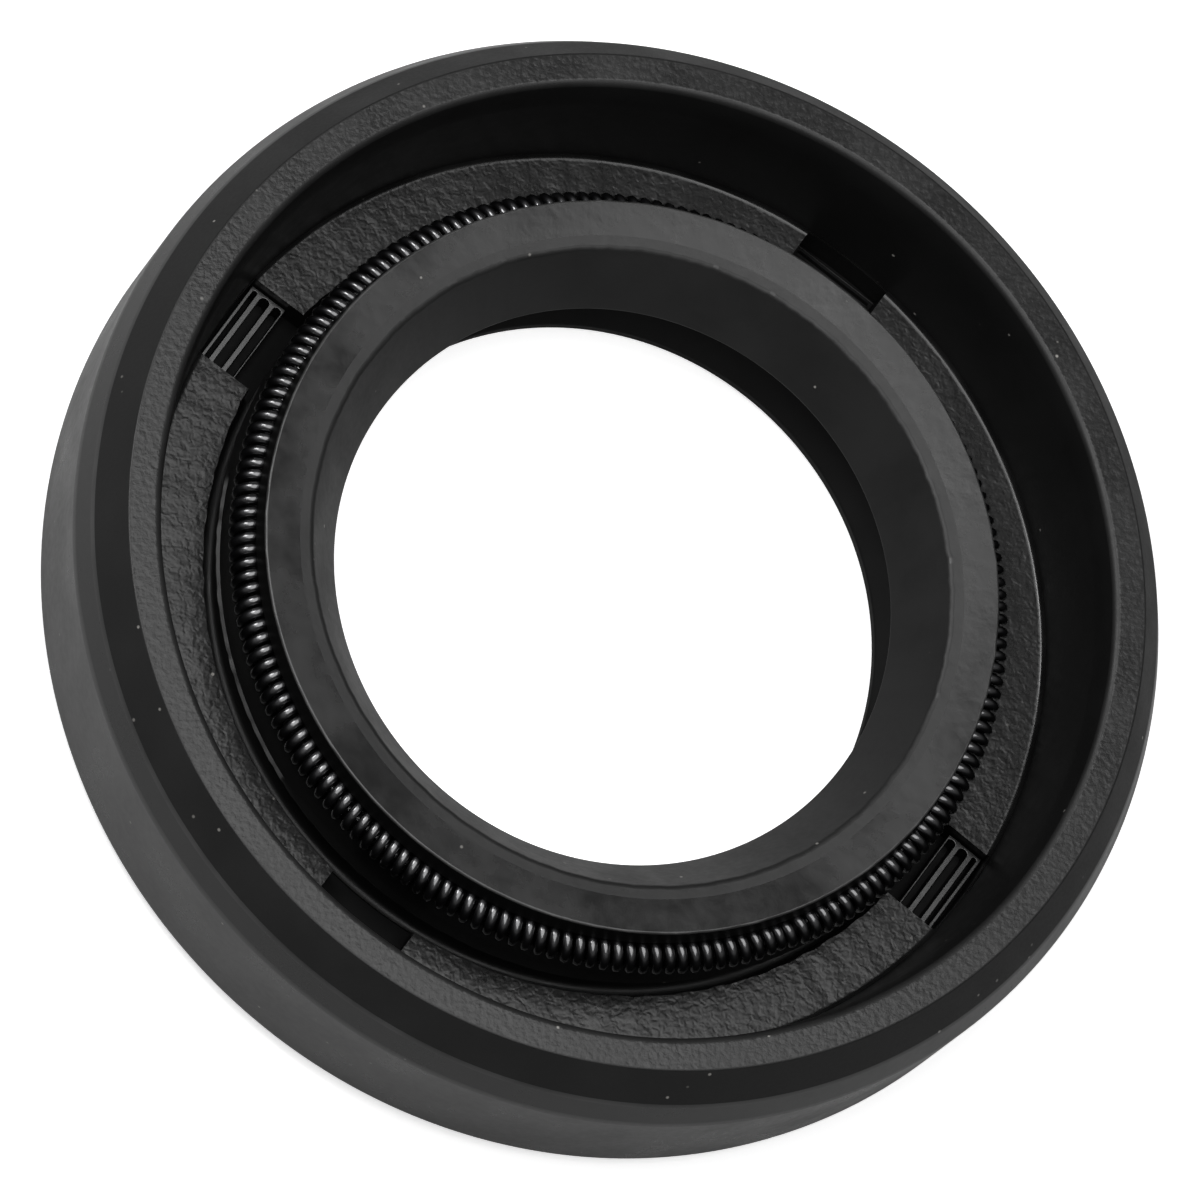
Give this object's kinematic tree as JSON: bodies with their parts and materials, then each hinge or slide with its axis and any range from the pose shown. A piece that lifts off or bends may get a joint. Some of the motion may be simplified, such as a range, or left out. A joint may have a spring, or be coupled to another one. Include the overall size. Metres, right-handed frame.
{
  "type": "radial shaft seal",
  "caption": "Ring-shaped rubber seal with a sealing lip held to the shaft by a garter spring, a dust lip at the back and a steel insert inside.",
  "frame": {"origin": "centre of the back face, on the seal's axis", "axes": "+Z along the seal's axis, from the back face towards the spring side; +X and +Y are any two radii"},
  "size_m": [0.035, 0.035, 0.007],
  "materials": {
    "rubber": "satin moulded nitrile rubber",
    "insert_steel": "pressed steel with a dark adhesive coat",
    "spring_steel": "dark drawn spring wire"
  },
  "bodies": {
    "root": {"rubber_moulding": "rubber", "steel_insert": "insert_steel", "garter_spring": "spring_steel"}
  },
  "joints": []
}
